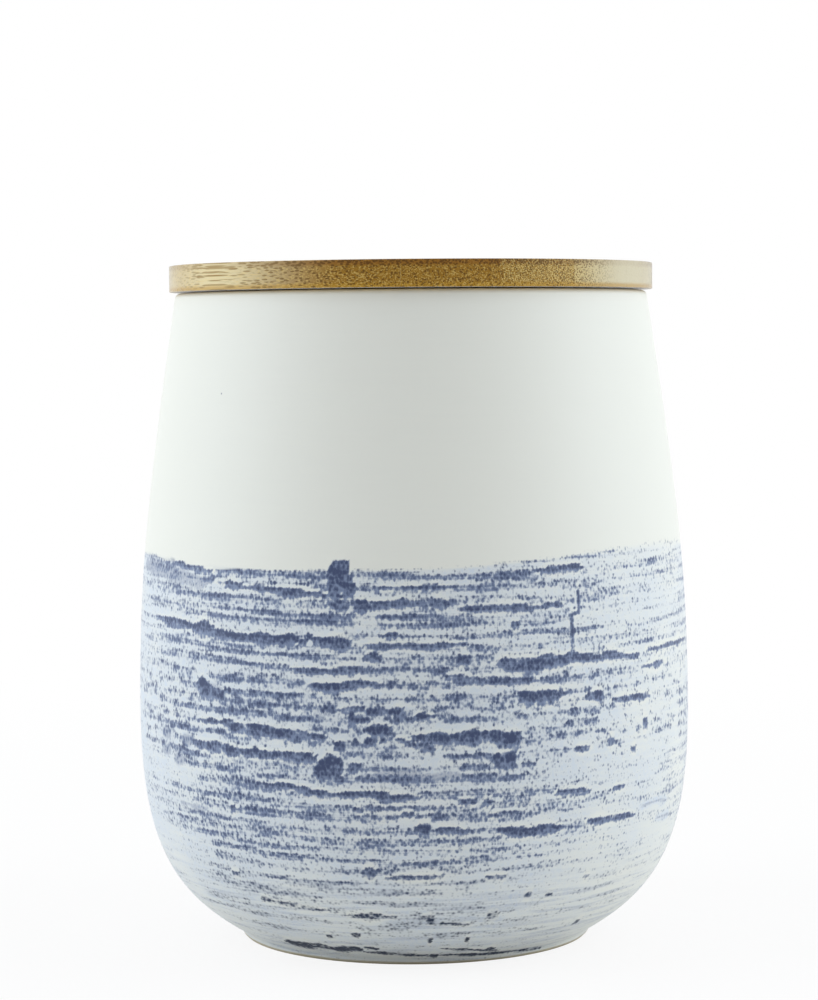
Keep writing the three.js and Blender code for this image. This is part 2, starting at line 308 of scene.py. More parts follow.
class GlazeLook(PropertyGroup):
    """Colours and grain of the glaze."""

    white: colour("White glaze", "Upper wall and inside", 231, 232, 224)
    ground: colour("Pale ground", "Ground between the brush marks", 207, 216, 226)
    wash: colour("Wash", "Thin blue over the ground", 150, 162, 185)
    light_blue: colour("Light blue", "Thin edges of the brush marks", 126, 141, 170)
    deep_blue: colour("Deep blue", "Thick middle of the brush marks", 61, 73, 106)
    slate: colour("Slate", "Marks low on the wall", 30, 38, 50)
    clay: colour("Bare clay", "Unglazed foot ring", 186, 176, 150)
    grain: length("Grain", "Size of the glaze's granules", 0.78 * MM)


class LidLook(PropertyGroup):
    """Sizes and colours of the bamboo lid."""

    radius: length("Lid radius", "Outer radius of the board", 55 * MM)
    plug_radius: length("Plug radius", "Outer radius of the plug", 46.8 * MM)
    plug_lip: length("Plug lip", "Height of the plug above its groove", 3 * MM)
    groove_height: length("Groove height", "Height of the groove for the seal", 4.2 * MM)
    groove_depth: length("Groove depth", "Depth of the groove for the seal", 2.2 * MM)
    glue_line: length("Glue line", "Gap between two strips", 0.02 * MM)
    turn: angle("Turn", "How far the lid is turned on the body", 39.5)
    end_ground: colour("End grain", "Ground between the fibre bundles", 150, 110, 36)
    bundle: colour("Bundles", "Cut ends of the fibre bundles", 78, 48, 14)
    fleck: colour("Flecks", "Pale pith between the bundles", 226, 196, 116)
    skin: colour("Skin", "Dense outer side of the cane", 122, 64, 20)
    amber: colour("Amber", "Inner side of the cane", 182, 138, 40)
    long_light: colour("Light fibre", "Long grain between the bundles", 223, 208, 164)
    long_dark: colour("Dark fibre", "Bundles seen along the grain", 152, 122, 66)
    straw: colour("Straw", "Pith of half-pale strips", 203, 180, 112)
    # The pale strip colour stands partly for paler cane and partly for a painted highlight, the soft box's
    # glare on the lid's right end
    pale_strip_and_glare: colour("Pale strip", "Strips cut from paler cane", 207, 198, 169)


class SealLook(PropertyGroup):
    """Sizes and colour of the silicone seal."""

    fit: length("Fit", "Clearance of the band in its groove", 0.2 * MM)
    fin_count: IntProperty(name="Fins", description="Fins round the band", default=2, min=1)
    fin_root: length("Fin root", "Thickness of a fin at the band", 1 * MM)
    fin_tip: length("Fin tip", "Thickness of a fin at its tip", 0.5 * MM)
    fin_rise: length("Fin rise", "How far a fin slants up", 0.8 * MM)
    silicone: colour("Silicone", "Body colour of the seal", 230, 231, 226)


class StageLook(PropertyGroup):
    """Camera and light."""

    distance: length("Distance", "Camera in front of the canister's axis", 655 * MM)
    camera_height: length("Camera height", "Camera above the standing plane", 136.8 * MM)
    camera_side: length("Camera side", "Camera to the right of the axis", -0.8 * MM)
    tilt: angle("Tilt", "Camera's downward tilt", 3.3)
    roll: angle("Roll", "Camera's roll, clockwise", 0.48)
    lens: FloatProperty(name="Lens", description="Focal length", default=102.9, unit="CAMERA")
    front_light: FloatProperty(name="Front light", description="Tent's level in front", default=0.24)
    back_light: FloatProperty(name="Back light", description="Tent's level beside and behind", default=1.17)
    side_light: FloatProperty(
        name="Side light", description="Power of each soft box", default=4.85, unit="POWER")
    floor: colour("Floor", "Pale floor", 238, 238, 238)


class Signal:
    """An output socket of a node. Operators on values add Math nodes."""

    def __init__(self, finish, socket):
        self.finish = finish
        self.socket = socket

    def output(self, name):
        """Another output of the same node."""
        return Signal(self.finish, self.socket.node.outputs[name])

    def maths(self, operation, first, second):
        return self.finish.node("ShaderNodeMath", {"operation": operation}, {0: first, 1: second})

    def __add__(self, other):
        return self.maths("ADD", self, other)

    def __radd__(self, other):
        return self.maths("ADD", other, self)

    def __sub__(self, other):
        return self.maths("SUBTRACT", self, other)

    def __rsub__(self, other):
        return self.maths("SUBTRACT", other, self)

    def __mul__(self, other):
        return self.maths("MULTIPLY", self, other)

    def __rmul__(self, other):
        return self.maths("MULTIPLY", other, self)

    def __abs__(self):
        return self.maths("ABSOLUTE", self, 0)

    def rise(self, low, high):
        """0 below one value and 1 above another, smooth between; falling if the first is the larger."""
        sockets = {"Value": self, "From Min": low, "From Max": high}
        return self.finish.node("ShaderNodeMapRange", {"interpolation_type": "SMOOTHSTEP"}, sockets)


class Finish:
    """The node tree of a material or a world, grown by one call per node."""

    def __init__(self, tree):
        self.tree = tree
        tree.nodes.clear()

    def node(self, kind, settings=None, sockets=None, output=0):
        node = self.tree.nodes.new(kind)
        for name, value in (settings or {}).items():
            setattr(node, name, value)
        for name, value in (sockets or {}).items():
            if isinstance(value, Signal):
                self.tree.links.new(value.socket, node.inputs[name])
            else:
                node.inputs[name].default_value = value
        return Signal(self, node.outputs[output]) if node.outputs else None

    def place(self, turn=0, stretch=(1, 1, 1)):
        """Where a point lies on the piece, in millimetres, turned about the axis and then scaled."""
        spot = self.node("ShaderNodeTexCoord", output="Object")
        sockets = {"Vector": spot, "Rotation": (0, 0, -turn), "Scale": (1 / MM,) * 3}
        turned = self.node("ShaderNodeMapping", None, sockets)
        return self.node("ShaderNodeMapping", None, {"Vector": turned, "Scale": stretch})

    def split(self, vector):
        """The three parts of a vector."""
        parts = self.node("ShaderNodeSeparateXYZ", None, {0: vector})
        return parts, parts.output("Y"), parts.output("Z")

    def noise(self, place, size, detail=2):
        """Soft noise whose features are about a size across, in millimetres."""
        sockets = {"Vector": place, "Scale": 1 / size, "Detail": detail}
        return self.node("ShaderNodeTexNoise", None, sockets)

    def cells(self, place, size):
        """Distance from the nearest of many scattered points, in cell sizes."""
        return self.node("ShaderNodeTexVoronoi", None, {"Vector": place, "Scale": 1 / size})

    def blend(self, share, first, second):
        """A share of the second colour over the first."""
        return self.node("ShaderNodeMix", {"data_type": "RGBA"}, {0: share, 6: first, 7: second}, 2)

    def bump(self, height, depth):
        """Surface relief of a depth in metres."""
        return self.node("ShaderNodeBump", None, {"Height": height, "Distance": depth})

    def surface(self, base, roughness, normal, **fixed):
        """Ends the tree in a surface shader."""
        sockets = {"Base Color": base, "Roughness": roughness, "Normal": normal}
        shader = self.node("ShaderNodeBsdfPrincipled", None, {**sockets, **fixed})
        self.node("ShaderNodeOutputMaterial", None, {"Surface": shader})


def new_finish(name):
    """A new material and the node tree to fill."""
    material = bpy.data.materials.new(name)
    material.use_nodes = True
    return material, Finish(material.node_tree)


def satin_glaze(look):
    """White satin glaze, blue brush marks broken up by grain, and bare clay at the foot."""
    material, finish = new_finish("satin_glaze")
    spot = finish.place()
    height = finish.split(spot)[2]
    cover, tone, ground = finish.split(
        finish.node("ShaderNodeAttribute", {"attribute_name": "glaze"}, output="Vector"))

    granule = look.grain / MM
    strand, island = granule * 0.6, granule * 2.6
    granules = finish.cells(finish.place(stretch=(1, 1, 0.8)), granule)
    fingers = finish.noise(finish.place(stretch=(1, 1, 0.55)), strand)
    strands = finish.noise(finish.place(stretch=(0.3, 0.3, 1)), strand)
    low = height.rise(*STREAKED)
    broken = fingers * (1 - low) + strands * low
    clumps = finish.noise(spot, CLUMP)
    brush_lines = finish.noise(finish.place(stretch=(0.06, 0.06, 1)), BRUSH_LINE, 3)
    grain = (0.5 - granules) * 0.9 + (broken - 0.5) * 1.1 + (clumps - 0.5) * 0.5
    crawled = height.rise(*CRAWLED_UP) * height.rise(*CRAWLED_DOWN)
    islands = finish.cells(finish.place(stretch=(0.8, 0.8, 1)), island)
    grain = grain + (brush_lines - 0.5) * (1.1 - crawled * 0.5) + (0.5 - islands) * crawled * 0.9
    thick = cover - 0.5 + grain
    ink = thick.rise(-0.25, low * 0.35 + 0.4) * ground.rise(0, 0.4)
    deep = (cover * 0.65 + tone * 0.5 + grain - 0.52).rise(0, 1)
    bright = finish.blend(deep, look.light_blue, look.deep_blue)
    blue = finish.blend(height.rise(*SLATE_LOW) * 0.85, bright, look.slate)

    cloud = finish.noise(spot, CLOUD, 3)
    glazed = ground.rise(0, 1) * (brush_lines * 0.9 + cloud * 0.9 - 0.1)
    pale = finish.blend(glazed.rise(0, 1), look.white, look.ground)
    streaks = finish.noise(finish.place(stretch=(1, 1, 0.12)), STREAK)
    film = (ground - 1).rise(0, 1) * (streaks * 2 - 0.2)
    film = film + cover.rise(0, 1.2) * (brush_lines * 0.5 + 0.15)
    film = film + low * brush_lines.rise(0.42, 0.66) * 0.45
    washed = finish.blend(film.rise(0, 1), pale, look.wash)
    drawn = finish.blend(thick.rise(-0.6, -0.3) * 0.3, washed, look.white)
    speckled = finish.blend(ink, drawn, blue)

    pits = finish.cells(spot, PIT_SPACING)
    chosen = finish.split(pits.output("Color"))[0].rise(0.8, 0.82)
    pinhole = pits.rise(0.024, 0.012) * chosen
    pitted = finish.blend(pinhole * 0.75, speckled, look.deep_blue)

    bare = (height + (cloud - 0.5) * 0.4).rise(*BARE_FOOT)
    fired = finish.blend(bare, pitted, look.clay)
    roughness = 0.5 + ink * (low * 0.36 - 0.08) + bare * 0.26 + (cloud - 0.5) * 0.1
    relief = brush_lines * 0.5 + ink * 0.4 + cloud
    fixed = {"Specular IOR Level": 0.3}
    finish.surface(fired, roughness, finish.bump(relief, 0.03 * MM), **fixed)
    return material


def bamboo(name, look, turn, bottom, top):
    """Varnished bamboo with fibres along its own Y: dots where cut across, dashes and lines elsewhere."""
    material, finish = new_finish(name)
    height = finish.split(finish.place())[2]
    cane = finish.node("ShaderNodeAttribute", {"attribute_name": "cane"}, output="Fac")
    fibres = finish.node(
        "ShaderNodeVectorMath", {"operation": "ADD"}, {0: finish.place(turn, (1, 0.02, 1)), 1: cane})
    facing = finish.node("ShaderNodeTexCoord", output="Normal")
    along = (-math.sin(turn), math.cos(turn), 0)
    end = finish.node("ShaderNodeVectorMath", {"operation": "DOT_PRODUCT"}, {0: facing, 1: along}, "Value")
    tone = finish.node("ShaderNodeAttribute", {"attribute_name": "tone"}, output="Fac")
    # End grain where the surface cuts across the fibres. On the ends that face along +fibre it fades
    # towards long grain, a painted highlight for glare on the lid's left end; real end grain would show on
    # both ends alike.
    end_grain_less_painted_glare = abs(end).rise(0.02, 0.6) * end.rise(0.7, 0)

    bundles = finish.cells(fibres, BUNDLE)
    lot = finish.split(bundles.output("Color"))[0]
    fine = finish.noise(fibres, FINE_FIBRE)
    skin = (height + fine * 0.8).rise(*(top / MM - depth for depth in SKIN_DEPTHS))
    dots = (bundles + (fine - 0.5) * 0.4 - skin * 0.1).rise(0.55, 0.3)
    dots = dots * (lot + skin * 0.5).rise(0.1, 0.4)
    flecks = fine.rise(0.5, 0.64) * (1 - skin * 0.8)
    amber = (height - fine * 0.8).rise(bottom / MM + AMBER_DEPTH, bottom / MM)

    pith = finish.blend(end_grain_less_painted_glare, look.long_light, look.end_ground)
    # Where the tone is low the board turns to pale strip and straw: paler cane, and a painted highlight of
    # the glare on the lid's right end
    paler = finish.blend(tone.rise(0.02, 0.6), look.pale_strip_and_glare, look.straw)
    paled_by_painted_glare = finish.blend((fine - 0.2 - tone * 0.6).rise(-0.1, 0.1), pith, paler)
    warm = finish.blend(amber * 0.65, paled_by_painted_glare, look.amber)
    skinned = finish.blend(skin * (end_grain_less_painted_glare * tone * 0.3 + 0.1), warm, look.skin)
    flecked = finish.blend(flecks * (end_grain_less_painted_glare * 0.3 + 0.2) * tone, skinned, look.fleck)
    bundle = finish.blend(end_grain_less_painted_glare, look.long_dark, look.bundle)
    dashes = fine.rise(0.46, 0.34) * (1 - end_grain_less_painted_glare) * 0.4
    flat = abs(finish.split(facing)[2]).rise(0.7, 0.95)
    # Share of dots shown: none on the pale strips and fewer on the ends that face along the fibres. This
    # paints the glare washing out the grain there.
    shown = tone.rise(flat * -0.4, 0.45) * (0.7 - end.rise(0.05, 0.35) * 0.5)
    board = finish.blend((dots + dashes) * shown, flecked, bundle)
    roughness = 0.38 + fine * 0.12 + dots * 0.06
    relief = fine * 0.5 + dots * 0.5
    fixed = {"Specular IOR Level": 0.15, "Sheen Weight": 1, "Sheen Roughness": 0.3}
    finish.surface(board, roughness, finish.bump(relief, 0.05 * MM), **fixed)
    return material


def silicone(look):
    """Milky silicone with a faint bloom."""
    material, finish = new_finish("silicone")
    bloom = finish.noise(finish.place(), 6, 3)
    tone = finish.blend(bloom * 0.25, look.silicone, (1, 1, 1, 1))
    speck = finish.noise(finish.place(), 0.3, 1)
    fixed = {"Subsurface Weight": 0.2, "Subsurface Radius": (1.5 * MM,) * 3}
    finish.surface(tone, 0.45 + bloom * 0.15, finish.bump(speck, 0.01 * MM), **fixed)
    return material


def curve(start, leave, arrive, end, steps):
    """Points of a cubic curve after its start, as radius and height."""
    t = np.linspace(0, 1, steps + 1)[1:, None]
    shares = ((1 - t) ** 3, 3 * t * (1 - t) ** 2, 3 * t ** 2 * (1 - t), t ** 3)
    return sum(share * np.array(point) for share, point in zip(shares, (start, leave, arrive, end)))


def round_over(start, corner, end):
    """Points of a rounded corner after its start."""
    t = np.linspace(0, 1, CORNER_STEPS + 1)[1:, None]
    return (1 - t) ** 2 * np.array(start) + 2 * t * (1 - t) * np.array(corner) + t ** 2 * np.array(end)


def evenly(points, spacing):
    """The same line through points a spacing apart, both ends kept."""
    reach = np.r_[0, np.cumsum(np.hypot(*np.diff(points, axis=0).T))]
    marks = np.linspace(0, reach[-1], math.ceil(reach[-1] / spacing) + 1)
    return np.stack([np.interp(marks, reach, points[:, axis]) for axis in (0, 1)], axis=1)


def foot_profile(body):
    """Underside and foot ring, from the axis out to the cove."""
    inside = body.foot_radius - body.foot_width
    return np.array([
        (0, body.foot_recess),
        (inside - FOOT_DRAFT, body.foot_recess),
        (inside, FOOT_EDGE),
        (inside + FOOT_EDGE, 0),
        (body.foot_radius - FOOT_EDGE, 0),
        (body.foot_radius, FOOT_EDGE),
    ])


def wall_profile(body):
    """Outer wall from the cove to the rim, in fine rings and then in plainer ones."""
    slope = math.tan(body.foot_rise)
    lean = math.tan(body.rim_lean)
    cove = (body.foot_radius, FOOT_EDGE + FOOT_WALL)
    cove_corner = (body.foot_radius, cove[1] + FOOT_COVE)
    heel = (body.foot_radius + FOOT_COVE, cove_corner[1] + FOOT_COVE * slope)
    out = FOOT_SWEEP * math.cos(body.foot_rise)
    up = FOOT_SWEEP * math.sin(body.foot_rise)
    leave = (heel[0] + out, heel[1] + up)
    belly = (body.belly_radius, body.belly_height)
    below = (belly[0], belly[1] - BELLY_SWEEP_DOWN)
    above = (belly[0], belly[1] + BELLY_SWEEP_UP)
    rim = (body.rim_radius + RIM_ROUND * lean, body.height - RIM_ROUND)
    arrive = (rim[0] + RIM_SWEEP * lean, rim[1] - RIM_SWEEP)
    line = np.vstack([
        cove,
        round_over(cove, cove_corner, heel),
        curve(heel, leave, below, belly, WALL_STEPS),
        curve(belly, above, arrive, rim, WALL_STEPS),
    ])
    split = np.searchsorted(line[:, 1], FINE_TO)
    fine = evenly(line[:split + 1], FINE_RING)
    return np.vstack([fine, evenly(line[split:], PLAIN_RING)[1:]])


def hollow_profile(body):
    """Rim, throat and hollow, from the top of the outer wall in to the axis."""
    mouth = body.rim_radius - body.wall
    hollow = body.belly_radius - body.wall
    top = body.height
    floor = body.foot_recess + body.floor
    start = (body.rim_radius + RIM_ROUND * math.tan(body.rim_lean), top - RIM_ROUND)
    land_outer = (body.rim_radius - RIM_ROUND, top)
    land_inner = (mouth + RIM_ROUND, top)
    throat = (mouth, top - THROAT_DEPTH)
    belly = (hollow, body.belly_height)
    throat_end = (mouth, throat[1] - THROAT_SWEEP)
    above = (hollow, belly[1] + SHOULDER_SWEEP)
    below = (hollow, belly[1] - HEEL_SWEEP)
    return np.vstack([
        round_over(start, (body.rim_radius, top), land_outer),
        land_inner,
        round_over(land_inner, (mouth, top), (mouth, top - RIM_ROUND)),
        throat,
        curve(throat, throat_end, above, belly, SHOULDER_STEPS),
        curve(belly, below, (FLOOR_SWEEP, floor), (0, floor), HEEL_STEPS),
    ])


def turned_mesh(name, profile, turns, looped=False):
    """A mesh turned from radii and heights that run from axis to axis, or close on themselves."""
    columns = len(turns)
    rings = profile if looped else profile[1:-1]
    radius, height = rings[:, :1], rings[:, 1:]
    sides = (radius * np.sin(turns), -radius * np.cos(turns), height + 0 * turns)
    points = np.stack(sides, axis=-1).reshape(-1, 3)
    row = np.arange(len(rings))[:, None] * columns
    here = row + np.arange(columns)
    beside = row + np.roll(np.arange(columns), -1)
    lower, upper = (here, beside), (np.roll(here, -1, 0), np.roll(beside, -1, 0))
    quads = np.stack([lower[0], lower[1], upper[1], upper[0]], axis=-1)
    faces = quads[:None if looped else -1].reshape(-1, 4).tolist()
    if not looped:
        poles = [(0, 0, profile[0, 1]), (0, 0, profile[-1, 1])]
        first, last = len(points), len(points) + 1
        points = np.vstack([points, poles])
        faces += [(first, b, a) for a, b in zip(here[0].tolist(), beside[0].tolist())]
        faces += [(a, b, last) for a, b in zip(here[-1].tolist(), beside[-1].tolist())]
    mesh = bpy.data.meshes.new(name)
    mesh.from_pydata(points.tolist(), [], faces)
    return mesh


def finished_piece(name, mesh, material):
    """An object of a mesh, smooth but for its sharp edges."""
    mesh.shade_smooth()
    mesh.set_sharp_from_angle(angle=SHARP_EDGE)
    mesh.materials.append(material)
    piece = bpy.data.objects.new(name, mesh)
    bpy.context.collection.objects.link(piece)
    return piece


def dress(piece, body, node):
    """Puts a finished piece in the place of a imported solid."""
    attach(piece, body)
    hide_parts(node)


def ripple(rng, turns, slowest, fastest):
    """A seeded wave round the wall, of unit spread, made of whole numbers of waves per turn."""
    counts = np.arange(slowest, fastest + 1)
    phases = rng.uniform(0, TAU, counts.size)
    waves = np.cos(np.radians(turns)[:, None] * counts + phases)
    return waves.sum(axis=1) * math.sqrt(2 / counts.size)


def round_wall(turns, knots):
    """Values between knots given in degrees round the wall."""
    return np.interp(turns, *np.array(knots).T, period=360)


def up_wall(heights, knots):
    """Values between knots given in millimetres up the wall."""
    return np.interp(heights, *np.array(knots).T)


class BrushedGlaze:
    """Fields of the brushed glaze on a grid of heights and turns of the wall."""

    # Tone in the middle of a mark, and how far it changes towards its edges
    middle_tone = 0.6
    edge_tone = 0.4

    # Height over which the ground fades out at the glaze line, in millimetres
    line_fade = 0.8

    # Cover of a dry row, of a grainy mark and of the thinnest dark stroke
    row_cover = 0.92
    grainy_cover = 0.64
    stroke_cover = 1.1

    # Cover that each millimetre of thickness adds to a dark stroke, and where that ends
    cover_per_mm = 0.12
    full_thickness = 4

    # In half thicknesses: where a mark ends above and below, its fade there, and points past its tips
    upper_end, upper_fade = 1.3, 0.6
    lower_end, lower_fade = 2.1, 1.5
    past_ends = 9

    # How far round itself a dark stroke draws glaze in, in millimetres, and which shares of it
    drawn_reach = 1.2
    drawn_ground = 0.4
    drawn_granules = 0.85

    # Strength of a wash and of a wipe, and how many half thicknesses both reach
    wash_strength = 1.3
    wipe_strength = 0.6
    soft_reach = 3

    def __init__(self, heights, turns):
        self.rng = np.random.default_rng(BRUSH_SEED)
        self.heights = heights[:, None]
        self.turns = turns
        line = round_wall(turns, GLAZE_LINE) + 0.1 * ripple(self.rng, turns, 4, 30)
        self.cover = np.zeros((heights.size, turns.size))
        self.tone = np.full(self.cover.shape, self.middle_tone)
        self.drawn_in = np.zeros(self.cover.shape)
        blueness = round_wall(turns, GROUND_TURNS)
        under = (line - self.heights) * blueness ** 2 / self.line_fade
        self.ground = np.clip(under + 0.5, 0, 1)
        self.ground *= blueness * up_wall(self.heights, GROUND_HEIGHTS)

    def brush_rows(self):
        """Dry rows of granules all round the wall, a few millimetres apart."""
        drift = round_wall(self.turns, ROW_DRIFT)
        for level in ROW_LEVELS:
            waver = 0.2 * ripple(self.rng, self.turns, 3, 14)
            reach = self.rng.uniform(0.65, 1.2) * (1 + 0.15 * ripple(self.rng, self.turns, 6, 30))
            busy = round_wall(self.turns, BUSY_TURNS) * up_wall(level, BUSY_HEIGHTS)
            swell = 0.1 * ripple(self.rng, self.turns, 9, 36) + 0.12 * ripple(self.rng, self.turns, 2, 8)
            lift = (self.heights - level - drift - waver) / np.maximum(reach, 0.25)
            self.settle(busy * (self.row_cover + swell) * np.exp(-lift ** 4), lift)

    def settle(self, laid, lift):
        """Keeps the thicker of two layers, which is darker towards its upper edge."""
        new_tone = self.middle_tone + self.edge_tone * np.clip(lift, -1, 1)
        self.tone = np.where(laid > self.cover, new_tone, self.tone)
        self.cover = np.maximum(self.cover, laid)

    def reach_of(self, mark):
        """How far each point lies above a mark's middle line, in half thicknesses."""
        start, end, left, right, thick = mark
        middle, half = (start + end) / 2, (end - start) / 2
        along = ((self.turns - middle + 180) % 360 - 180) / half
        waver = 0.1 * thick * ripple(self.rng, self.turns, 3, 40)
        line = left + (right - left) * (along + 1) / 2 + waver
        taper = np.sqrt(np.clip(1 - along ** 4, 0.0004, 1))
        ragged = np.clip(1 + 0.18 * ripple(self.rng, self.turns, 8, 64), 0.5, 1.6)
        lift = (self.heights - line) / (thick / 2 * taper * ragged)
        return np.where(np.abs(along) < 1, lift, self.past_ends)

    def lay(self, mark, strength):
        """A mark with a crisp upper edge and a lower edge that thins out."""
        lift = self.reach_of(mark)
        above = np.clip((self.upper_end - lift) / self.upper_fade, 0, 1)
        below = np.clip((self.lower_end + lift) / self.lower_fade, 0, 1)
        laid = strength * np.minimum(above, below)
        self.settle(laid, lift)
        self.ground = np.maximum(self.ground, np.clip(laid * 2.5 - 1.7, 0, 1))
        half_thickness = mark[4] / 2
        beyond = (np.abs(lift) - self.upper_end) * half_thickness
        self.drawn_in = np.maximum(self.drawn_in, np.clip(self.drawn_reach - beyond, 0, 1))

    def wash(self, mark):
        """A thin even film over the ground."""
        self.ground += self.wash_strength * self.soft_share(mark)

    def wipe(self, mark):
        """A share of granules to leave where the brush hardly touched."""
        return 1 - self.wipe_strength * self.soft_share(mark)

    def soft_share(self, mark):
        """1 along a mark's middle line, fading out above and below it."""
        lift = self.reach_of(mark)
        return np.exp(-lift ** 2) * (np.abs(lift) < self.soft_reach)

    def back_marks(self):
        """Marks by lot where the front's marks end, in the same kinds."""
        for count, least, most, thin, thick in BACK_MARKS:
            for _ in range(count):
                level = self.rng.uniform(BACK_LOW, BACK_HIGH)
                if self.rng.random() > up_wall(level, BUSY_HEIGHTS):
                    continue
                spread = self.rng.uniform(least, most)
                start = self.rng.uniform(BACK_FROM, BACK_TO - spread)
                climb = self.rng.normal(0, BACK_SLOPE) * spread
                yield start, start + spread, level, level + climb, self.rng.uniform(thin, thick)

    def fields(self):
        """Cover, tone and ground, each of the grid's shape."""
        for mark in (*SOLID_MARKS, *self.back_marks()):
            height, thick = mark[2], mark[4]
            full = self.stroke_cover + self.cover_per_mm * min(thick, self.full_thickness)
            self.lay(mark, up_wall(height, STROKE_HEIGHTS) * full)
        strokes, stroke_tone, drawn_in = self.cover, self.tone, self.drawn_in
        self.cover = np.zeros(strokes.shape)
        self.ground *= 1 - self.drawn_ground * drawn_in
        self.brush_rows()
        for mark in GRAINY_MARKS:
            self.lay(mark, self.grainy_cover)
        dust = up_wall(self.heights, DUST_HEIGHTS) * round_wall(self.turns, BUSY_TURNS)
        rows = np.maximum(self.cover, dust) * (1 - self.drawn_granules * drawn_in)
        for mark in WIPED_MARKS:
            rows *= self.wipe(mark)
        self.tone = np.where(strokes > rows, stroke_tone, self.tone)
        self.cover = np.maximum(strokes, rows)
        for mark in PALE_MARKS:
            self.wash(mark)
        return self.cover, self.tone, self.ground


class CANISTER_OT_body(Operator):
    """Makes the glazed stoneware body"""

    bl_idname = "canister.body"
    bl_label = "Stoneware body"

    # Share of its length that a line off the outer wall gets on the flat sheet
    hidden_worth = 0.25

    def execute(self, context):
        body = context.scene.canister_body
        side = math.radians(BACK_FROM)
        front = np.arange(-side, side, body.front_step)
        turns = np.r_[front, np.arange(side, TAU - side, body.back_step)]
        columns = len(turns)
        foot = foot_profile(body)
        wall = wall_profile(body)
        profile = np.vstack([foot, wall, hollow_profile(body)])
        mesh = turned_mesh("glazed_body", profile, turns)

        first = (len(foot) - 1) * columns
        fields = BrushedGlaze(wall[:, 1] / MM, np.degrees(turns)).fields()
        glaze = np.zeros((len(mesh.vertices), 3))
        glaze[first:first + len(wall) * columns] = np.stack(fields, axis=-1).reshape(-1, 3)
        layer = mesh.attributes.new("glaze", "FLOAT_VECTOR", "POINT")
        layer.data.foreach_set("vector", glaze.ravel())
        self.unroll(mesh, profile, len(foot), len(wall))

        piece = finished_piece("glazed_body", mesh, satin_glaze(context.scene.canister_glaze))
        dress(piece, "canister", "canister_body")
        return {"FINISHED"}

    def unroll(self, mesh, profile, wall_from, wall_rings):
        """Lays the surface out flat for painting, with most of the sheet given to the outer wall."""
        steps = np.hypot(*np.diff(profile, axis=0).T)
        worth = np.full(len(steps), self.hidden_worth)
        worth[wall_from:wall_from + wall_rings] = 1
        ring_at = np.r_[0, np.cumsum(steps * worth)]
        ring_at /= ring_at[-1]
        points = np.empty(len(mesh.vertices) * 3)
        mesh.vertices.foreach_get("co", points)
        x, y, _ = points.reshape(-1, 3).T
        columns = (len(mesh.vertices) - 2) // (len(profile) - 2)
        across = (np.arctan2(x, -y) / TAU) % 1
        up = np.r_[np.repeat(ring_at[1:-1], columns), ring_at[0], ring_at[-1]]
        corners = np.empty(len(mesh.loops), int)
        mesh.loops.foreach_get("vertex_index", corners)
        sheet = np.stack([across[corners], up[corners]], axis=1)
        for face in mesh.polygons:
            loops = sheet[face.loop_start:face.loop_start + face.loop_total]
            if np.ptp(loops[:, 0]) > 0.5:
                loops[loops[:, 0] < 0.5, 0] += 1
        mesh.uv_layers.new(name="OFBake").uv.foreach_set("vector", sheet.ravel())


def cut_strips(disc, radius, glue_line):
    """The strips of a disc, cut across at even widths with a glue line between them."""
    width = 2 * radius / STRIP_COUNT
    for strip in range(STRIP_COUNT):
        left = -radius + strip * width
        cuts = []
        if strip > 0:
            cuts.append((left + glue_line / 2, -1))
        if strip < STRIP_COUNT - 1:
            cuts.append((left + width - glue_line / 2, 1))
        shape = bmesh.new()
        shape.from_mesh(disc)
        for place, side in cuts:
            everything = [*shape.verts, *shape.edges, *shape.faces]
            cut = bmesh.ops.bisect_plane(
                shape, geom=everything, plane_co=(place, 0, 0), plane_no=(side, 0, 0), clear_outer=True)
            rim = [item for item in cut["geom_cut"] if isinstance(item, bmesh.types.BMEdge)]
            bmesh.ops.edgeloop_fill(shape, edges=rim)
        bmesh.ops.recalc_face_normals(shape, faces=shape.faces)
        yield strip, shape


def make_strips(name, node, disc, radius, glue_line, turn, tones, material):
    """Separate pieces for the strips of one ply, each with a tone at its left and right edge."""
    for strip, shape in cut_strips(disc, radius, glue_line):
        across = (np.array([vert.co.x for vert in shape.verts]) / radius + 1) * STRIP_COUNT / 2 - strip
        across_strip = np.interp(across, (0, 1), tones[strip])
        shape.transform(Matrix.Rotation(turn, 4, "Z"))
        mesh = bpy.data.meshes.new(f"{name}_{strip + 1}")
        shape.to_mesh(mesh)
        shape.free()
        tone = mesh.attributes.new("tone", "FLOAT", "POINT")
        tone.data.foreach_set("value", across_strip)
        cane = mesh.attributes.new("cane", "FLOAT", "POINT")
        cane.data.foreach_set("value", np.full(across.size, CANE_SHIFT * strip))
        piece = finished_piece(mesh.name, mesh, material)
        dress(piece, "lid", f"{node}_{strip + 1}")
    bpy.data.meshes.remove(disc)


class CANISTER_OT_lid_board(Operator):
    """Makes the lid's upper ply of bamboo strips"""

    bl_idname = "canister.lid_board"
    bl_label = "Lid board"

    # Tone of each strip at its left and right edge, 1 where it is darkest. The low tones of the right-hand
    # strips, falling across strip 4 towards its right edge, are partly a painted highlight: they pale that
    # end of the lid as a soft box's glare would.
    tones = ((1, 1), (1, 1), (0.57, 0.5), (0.42, 0), (0, 0.26), (0.24, 0.3))

    def execute(self, context):
        lid = context.scene.canister_lid
        bottom, top = LID_LOW.z, LID_HIGH.z
        side = (lid.radius, top - LID_TOP_ROUND)
        profile = np.vstack([
            (0, bottom),
            (lid.radius - LID_LOWER_EDGE, bottom),
            (lid.radius, bottom + LID_LOWER_EDGE),
            side,
            round_over(side, (lid.radius, top), (lid.radius - LID_TOP_ROUND, top)),
            (0, top),
        ])
        disc = turned_mesh("lid_disc", profile, LID_TURNS)
        material = bamboo("bamboo_board", lid, lid.turn, bottom, top)
        make_strips("lid_board", "lid_strip", disc, lid.radius, lid.glue_line, lid.turn, self.tones,
                    material)
        return {"FINISHED"}


